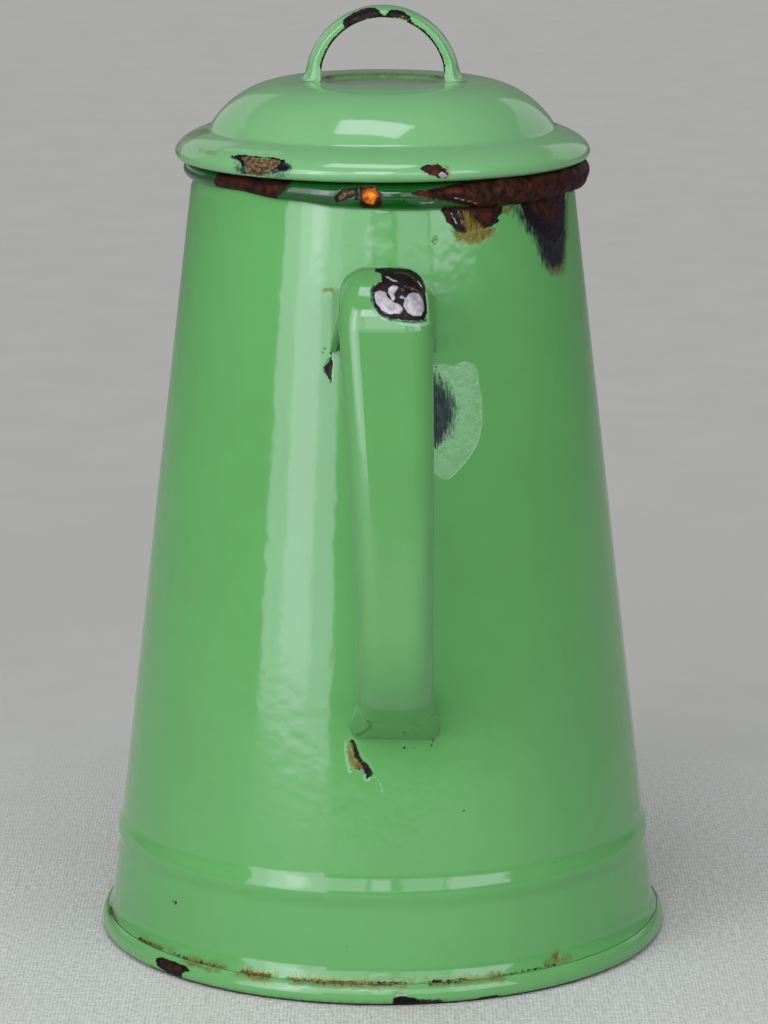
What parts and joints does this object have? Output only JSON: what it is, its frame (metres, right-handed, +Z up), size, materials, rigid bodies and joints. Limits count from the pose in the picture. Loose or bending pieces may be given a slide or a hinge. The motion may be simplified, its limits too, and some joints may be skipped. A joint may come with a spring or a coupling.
{
  "type": "coffee pot",
  "caption": "Tapered enamelled steel coffee pot with a rolled rim, pressed rib, strap handle, gooseneck spout and a loose lid with a loop.",
  "frame": {"origin": "centre of the foot ring, on the surface that the pot stands on", "axes": "+Z up along the pot's axis, -Y towards the handle, +Y towards the spout, +X to the right seen from the handle"},
  "size_m": [0.15, 0.219, 0.2444],
  "materials": {
    "body_enamel": "glossy jade green vitreous enamel on sheet steel, dark green on the rolled rim, ivory white inside, chipped and rusted at the rim",
    "base_enamel": "glossy jade green vitreous enamel, chipped dark along the foot's edge",
    "handle_enamel": "glossy jade green vitreous enamel with a chip at the upper bend",
    "lid_enamel": "glossy pale jade green vitreous enamel, chipped at the brim and the loop",
    "collar_enamel": "glossy ivory white vitreous enamel, as inside the pot and under the lid"
  },
  "bodies": {
    "pot": {"body_wall": "body_enamel", "base_pan": "base_enamel", "spout_left_half": "body_enamel", "spout_right_half": "body_enamel", "handle_strap": "handle_enamel"},
    "lid": {"lid_dome": "lid_enamel", "lid_collar": "collar_enamel", "lid_loop": "lid_enamel"}
  },
  "joints": [
    {"name": "lid_lift", "type": "slide", "parent": "pot", "child": "lid", "axis": [0, 0, 1], "range_m": [0, 0.06]}
  ]
}
